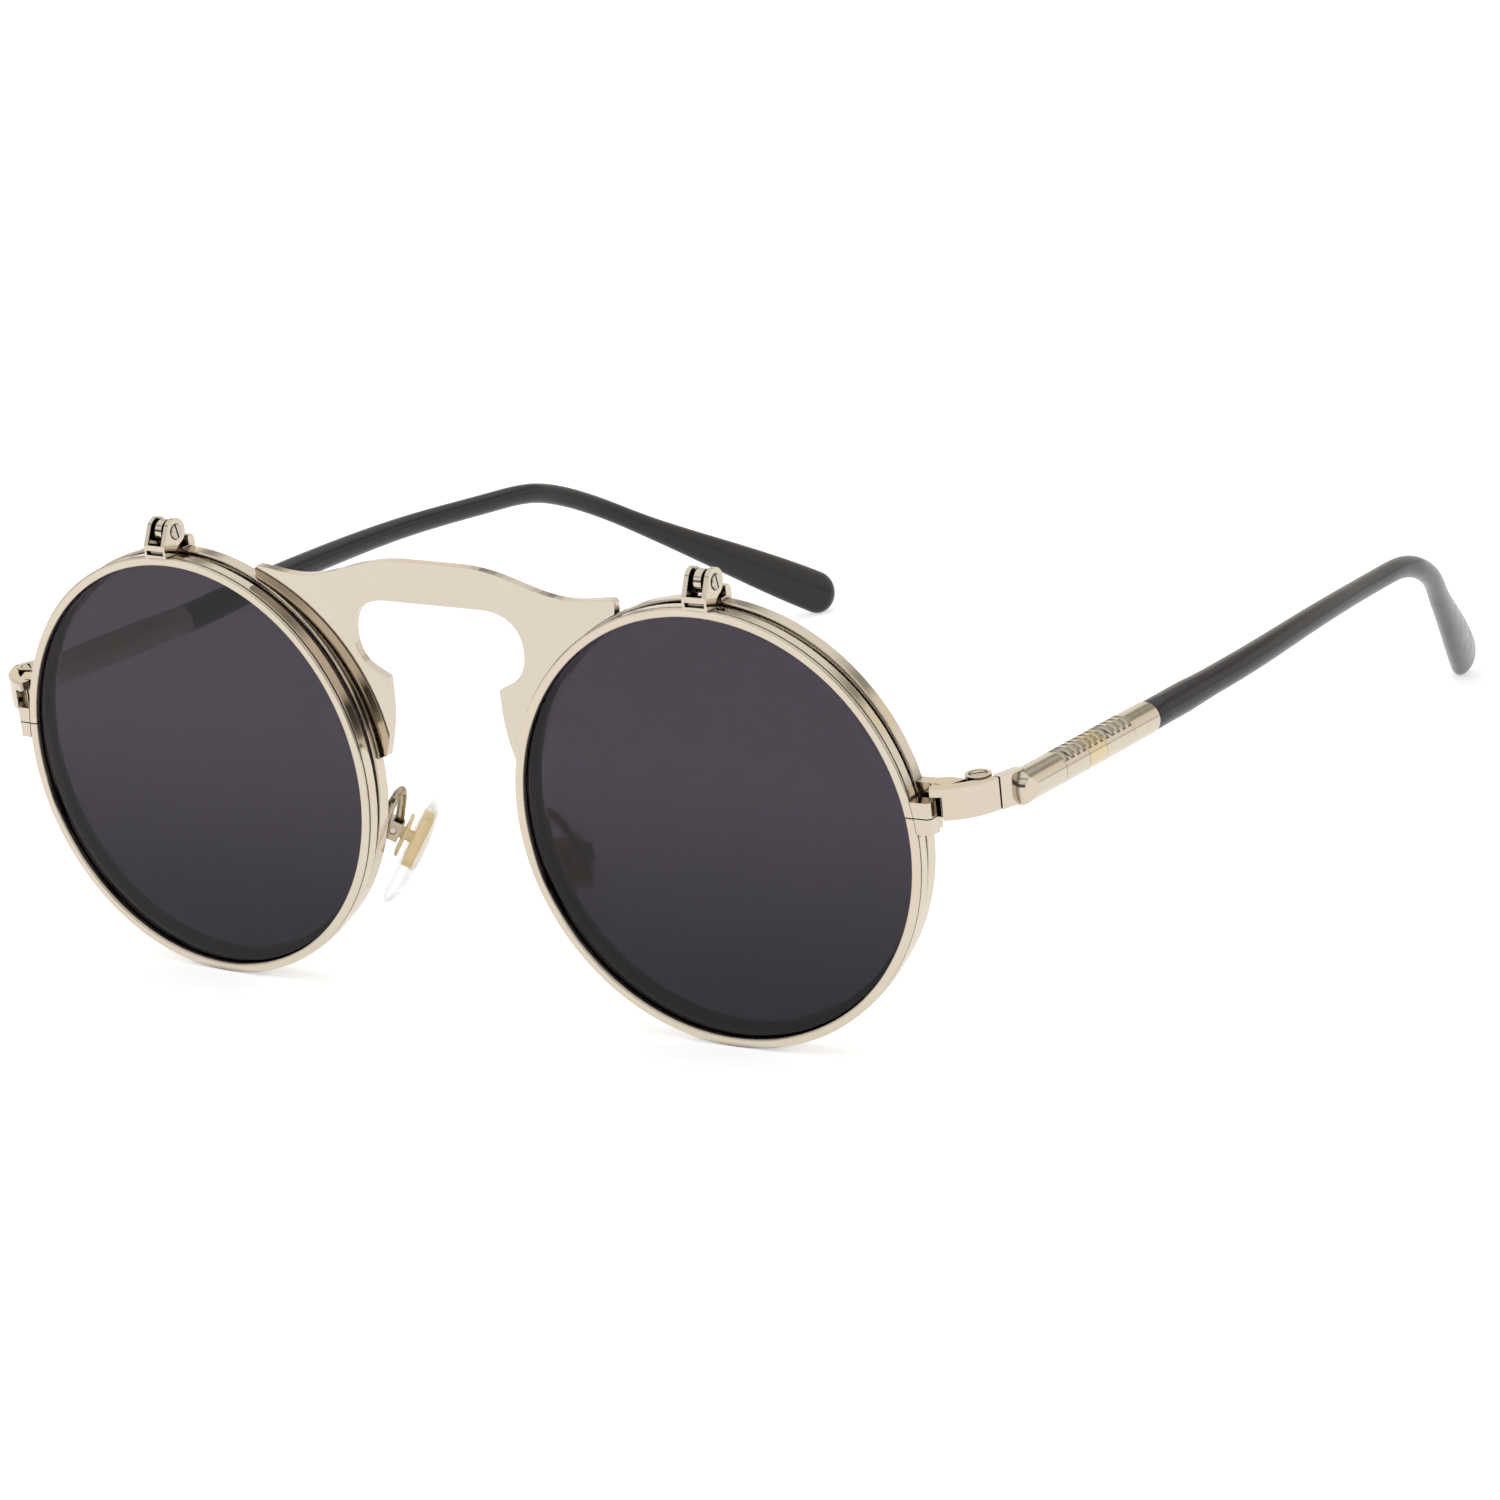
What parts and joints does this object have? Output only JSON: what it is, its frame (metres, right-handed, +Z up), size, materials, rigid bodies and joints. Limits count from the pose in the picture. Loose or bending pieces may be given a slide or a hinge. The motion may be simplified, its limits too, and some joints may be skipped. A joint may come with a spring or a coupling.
{
  "type": "flip-up sunglasses",
  "caption": "Round metal sunglasses with dark lenses that flip up on hinges over clear lenses, a flat keyhole bridge plate, nose pads and folding temples with black tips.",
  "frame": {"origin": "centre of the bounding box in plan, on the floor that the flip rims and both temple tips stand on", "axes": "+Z up, the front of the glasses faces -Y, +X is the wearer's left (the viewer's right)"},
  "size_m": [0.1348, 0.1558, 0.053],
  "materials": {
    "champagne": "polished pale champagne gold plating",
    "gold": "polished yellow gold plating",
    "screw_steel": "turned screw metal",
    "dark_lens": "smooth, neutral grey tint",
    "clear_lens": "smooth, clear",
    "pad_soft": "clear soft silicone",
    "tip_black": "glossy black"
  },
  "bodies": {
    "front_frame": {"bridge_plate": "champagne", "main_rim_left": "champagne", "main_rim_right": "champagne", "clear_lens_left": "clear_lens", "clear_lens_right": "clear_lens", "rim_lock_left": "champagne", "rim_lock_right": "champagne", "rim_lock_screw_left": "screw_steel", "rim_lock_screw_right": "screw_steel", "end_piece_left": "champagne", "end_piece_right": "champagne", "temple_hinge_screw_left": "screw_steel", "temple_hinge_screw_right": "screw_steel", "flip_tongue_left": "champagne", "flip_tongue_right": "champagne", "pad_arm_left": "champagne", "pad_arm_right": "champagne", "pad_screw_left": "screw_steel", "pad_screw_right": "screw_steel"},
    "flip_left": {"flip_rim_left": "champagne", "dark_lens_left": "dark_lens", "flip_lock_left": "champagne", "flip_lock_screw_left": "screw_steel", "flip_fork_left": "champagne", "flip_hinge_screw_left": "screw_steel"},
    "flip_right": {"flip_rim_right": "champagne", "dark_lens_right": "dark_lens", "flip_lock_right": "champagne", "flip_lock_screw_right": "screw_steel", "flip_fork_right": "champagne", "flip_hinge_screw_right": "screw_steel"},
    "temple_left": {"temple_arm_left": "champagne", "front_collar_left": "champagne", "gold_collar_left": "gold", "rear_collar_left": "champagne", "ferrule_left": "champagne", "core_wire_left": "screw_steel", "temple_tip_left": "tip_black"},
    "temple_right": {"temple_arm_right": "champagne", "front_collar_right": "champagne", "gold_collar_right": "gold", "rear_collar_right": "champagne", "ferrule_right": "champagne", "core_wire_right": "screw_steel", "temple_tip_right": "tip_black"},
    "pad_left": {"nose_pad_left": "pad_soft", "pad_core_left": "gold"},
    "pad_right": {"nose_pad_right": "pad_soft", "pad_core_right": "gold"}
  },
  "joints": [
    {"name": "flip_up_left", "type": "hinge", "parent": "front_frame", "child": "flip_left", "pos_m": [0.03543, -0.07562, 0.05153], "axis": [-0.9993, -0.0383, -0.0019], "range_deg": [0, 90]},
    {"name": "flip_up_right", "type": "hinge", "parent": "front_frame", "child": "flip_right", "pos_m": [-0.03543, -0.07562, 0.05153], "axis": [-0.9993, 0.0383, 0.0019], "range_deg": [0, 90]},
    {"name": "temple_fold_left", "type": "hinge", "parent": "front_frame", "child": "temple_left", "pos_m": [0.06315, -0.06939, 0.02981], "axis": [0, -0.0494, 0.9988], "range_deg": [0, 87]},
    {"name": "temple_fold_right", "type": "hinge", "parent": "front_frame", "child": "temple_right", "pos_m": [-0.06315, -0.06939, 0.02981], "axis": [0, 0.0494, -0.9988], "range_deg": [0, 80]},
    {"name": "pad_rock_left", "type": "hinge", "parent": "front_frame", "child": "pad_left", "pos_m": [0.01286, -0.06933, 0.01756], "axis": [-0.5223, -0.8528, 0.0042], "range_deg": [-6, 6]},
    {"name": "pad_rock_right", "type": "hinge", "parent": "front_frame", "child": "pad_right", "pos_m": [-0.01286, -0.06933, 0.01756], "axis": [-0.5223, 0.8528, -0.0042], "range_deg": [-6, 6]}
  ]
}
